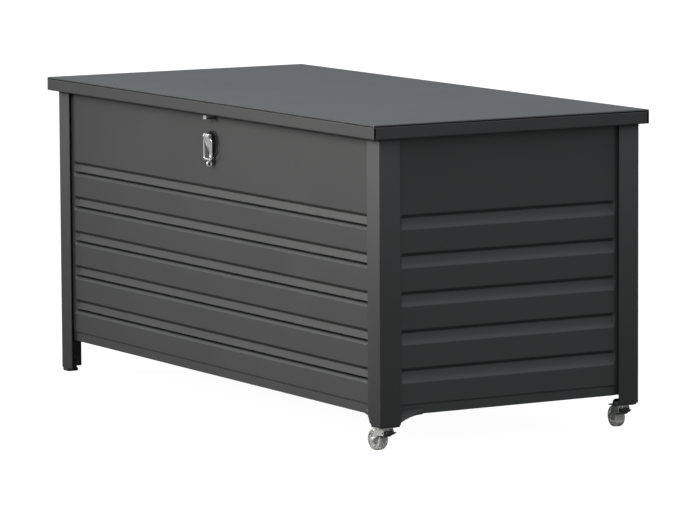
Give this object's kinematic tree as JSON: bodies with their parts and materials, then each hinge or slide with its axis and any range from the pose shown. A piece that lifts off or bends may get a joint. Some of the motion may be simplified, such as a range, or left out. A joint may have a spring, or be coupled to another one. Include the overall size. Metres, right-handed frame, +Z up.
{
  "type": "deck storage box",
  "caption": "Folded sheet-steel outdoor storage box with ribbed walls, a gas-strut lid, a toggle latch at the front and castors under one end.",
  "frame": {"origin": "on the floor under the middle of the closed lid", "axes": "+X along the length towards the castor end, -Y towards the latch side, +Z up"},
  "size_m": [1.36, 0.624, 0.63],
  "materials": {
    "anthracite_paint": "satin powder coat",
    "inner_paint": "satin powder coat, thinner inside",
    "polished_chrome": "polished",
    "zinc_plate": "zinc plated",
    "black_enamel": "gloss enamel",
    "black_plastic": "moulded",
    "black_rubber": "matte",
    "grey_wheel_plastic": "smoky translucent tyre"
  },
  "bodies": {
    "box": {"back_panel": "anthracite_paint", "castor_pan_back_right": "anthracite_paint", "castor_pan_front_right": "anthracite_paint", "castor_plate_back": "zinc_plate", "castor_plate_front": "zinc_plate", "floor_rail_1": "inner_paint", "floor_rail_2": "inner_paint", "floor_rail_3": "inner_paint", "floor_sheet": "inner_paint", "foot_back_left": "black_plastic", "foot_front_left": "black_plastic", "front_panel": "anthracite_paint", "gusset_end_side": "anthracite_paint", "gusset_latch_side": "anthracite_paint", "hinge_body_leaf_1": "zinc_plate", "hinge_body_leaf_2": "zinc_plate", "hinge_body_leaf_3": "zinc_plate", "hinge_pin_1": "zinc_plate", "hinge_pin_2": "zinc_plate", "hinge_pin_3": "zinc_plate", "latch_base": "black_enamel", "latch_pin": "zinc_plate", "left_end_panel": "anthracite_paint", "post_back_left": "anthracite_paint", "post_back_right": "anthracite_paint", "post_front_left": "anthracite_paint", "post_front_right": "anthracite_paint", "right_end_panel": "anthracite_paint", "strut_body_bracket_left": "zinc_plate", "strut_body_bracket_right": "zinc_plate"},
    "lid": {"hinge_lid_leaf_1": "zinc_plate", "hinge_lid_leaf_2": "zinc_plate", "hinge_lid_leaf_3": "zinc_plate", "latch_catch": "polished_chrome", "lid_buffer_left": "black_rubber", "lid_buffer_right": "black_rubber", "lid_rib_1": "inner_paint", "lid_rib_2": "inner_paint", "lid_rib_3": "inner_paint", "lid_skin": "anthracite_paint", "strut_lid_bracket_left": "zinc_plate", "strut_lid_bracket_right": "zinc_plate"},
    "strut_tube_left": {"strut_tube_left": "black_enamel"},
    "strut_rod_left": {"strut_rod_left": "zinc_plate"},
    "strut_tube_right": {"strut_tube_right": "black_enamel"},
    "strut_rod_right": {"strut_rod_right": "zinc_plate"},
    "latch_lever": {"latch_lever": "polished_chrome"},
    "latch_bail": {"latch_bail": "polished_chrome"},
    "castor_swivel_front": {"castor_fork_front": "zinc_plate", "castor_axle_front": "zinc_plate"},
    "castor_wheel_front": {"castor_wheel_front": "grey_wheel_plastic"},
    "castor_pedal_front": {"castor_pedal_front": "black_plastic"},
    "castor_swivel_back": {"castor_fork_back": "zinc_plate", "castor_axle_back": "zinc_plate"},
    "castor_wheel_back": {"castor_wheel_back": "grey_wheel_plastic"},
    "castor_pedal_back": {"castor_pedal_back": "black_plastic"}
  },
  "joints": [
    {"name": "lid_open", "type": "hinge", "parent": "box", "child": "lid", "pos_m": [0, 0.2958, 0.596], "axis": [-1, 0, 0], "range_deg": [0, 85]},
    {"name": "strut_tilt_left", "type": "hinge", "parent": "box", "child": "strut_tube_left", "pos_m": [-0.627, 0.12, 0.33], "axis": [-1, 0, 0], "range_deg": [0, 16.04]},
    {"name": "strut_slide_left", "type": "slide", "parent": "strut_tube_left", "child": "strut_rod_left", "axis": [0, 0.1096, 0.994], "range_m": [0, 0.17158]},
    {"name": "strut_tilt_right", "type": "hinge", "parent": "box", "child": "strut_tube_right", "pos_m": [0.627, 0.12, 0.33], "axis": [-1, 0, 0], "range_deg": [0, 16.04]},
    {"name": "strut_slide_right", "type": "slide", "parent": "strut_tube_right", "child": "strut_rod_right", "axis": [0, 0.1096, 0.994], "range_m": [0, 0.17158]},
    {"name": "latch_lever_lift", "type": "hinge", "parent": "box", "child": "latch_lever", "pos_m": [0, -0.2975, 0.556], "axis": [-1, 0, 0], "range_deg": [0, 80]},
    {"name": "latch_bail_swing", "type": "hinge", "parent": "latch_lever", "child": "latch_bail", "pos_m": [0, -0.2965, 0.549], "axis": [-1, 0, 0], "range_deg": [0, 90]},
    {"name": "castor_swivel_front", "type": "hinge", "parent": "box", "child": "castor_swivel_front", "pos_m": [0.64, -0.2685, 0.046], "axis": [0, 0, 1], "continuous": true},
    {"name": "castor_roll_front", "type": "hinge", "parent": "castor_swivel_front", "child": "castor_wheel_front", "pos_m": [0.62015, -0.27094, 0.0215], "axis": [-0.1219, 0.9925, 0], "continuous": true},
    {"name": "castor_brake_front", "type": "hinge", "parent": "castor_swivel_front", "child": "castor_pedal_front", "pos_m": [0.65092, -0.26716, 0.036], "axis": [-0.1219, 0.9925, 0], "range_deg": [0, 12]},
    {"name": "castor_swivel_back", "type": "hinge", "parent": "box", "child": "castor_swivel_back", "pos_m": [0.64, 0.2735, 0.046], "axis": [0, 0, 1], "continuous": true},
    {"name": "castor_roll_back", "type": "hinge", "parent": "castor_swivel_back", "child": "castor_wheel_back", "pos_m": [0.62015, 0.27594, 0.0215], "axis": [0.1219, 0.9925, 0], "continuous": true},
    {"name": "castor_brake_back", "type": "hinge", "parent": "castor_swivel_back", "child": "castor_pedal_back", "pos_m": [0.65092, 0.27216, 0.036], "axis": [0.1219, 0.9925, 0], "range_deg": [0, 12]}
  ],
  "couplings": [
    {"joint": "strut_tilt_left", "follows": "lid_open", "ratio": 0.18857},
    {"joint": "strut_slide_left", "follows": "lid_open", "m_per_rad": 0.11559},
    {"joint": "strut_tilt_right", "follows": "lid_open", "ratio": 0.18857},
    {"joint": "strut_slide_right", "follows": "lid_open", "m_per_rad": 0.11559}
  ]
}
